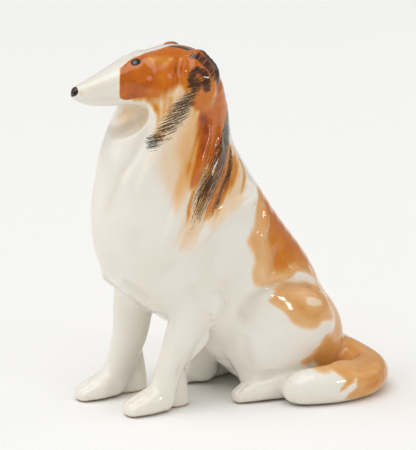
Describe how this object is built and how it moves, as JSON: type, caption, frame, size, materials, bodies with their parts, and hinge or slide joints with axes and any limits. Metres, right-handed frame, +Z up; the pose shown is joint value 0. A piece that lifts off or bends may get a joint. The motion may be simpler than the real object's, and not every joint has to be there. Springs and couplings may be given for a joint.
{
  "type": "dog figurine",
  "caption": "Seated rough collie figurine in glazed slip-cast ceramic, white with sable patches and black brush strokes, tail curled round its left side.",
  "frame": {"origin": "middle of the footprint's bounding box, on the surface the figurine sits on", "axes": "+Z up; the dog faces -Y and its left side is +X"},
  "size_m": [0.0986, 0.1843, 0.2036],
  "materials": {
    "ivory_glaze": "gloss",
    "tan_glaze": "gloss",
    "black_enamel": "gloss"
  },
  "bodies": {
    "root": {"torso_shell": "ivory_glaze", "head_shell": "tan_glaze", "left_ear": "tan_glaze", "right_ear": "tan_glaze", "left_foreleg": "ivory_glaze", "right_foreleg": "ivory_glaze", "left_hind_leg": "ivory_glaze", "right_hind_leg": "ivory_glaze", "tail": "tan_glaze", "nose_cap": "black_enamel", "left_eye": "black_enamel", "right_eye": "black_enamel"}
  },
  "joints": []
}
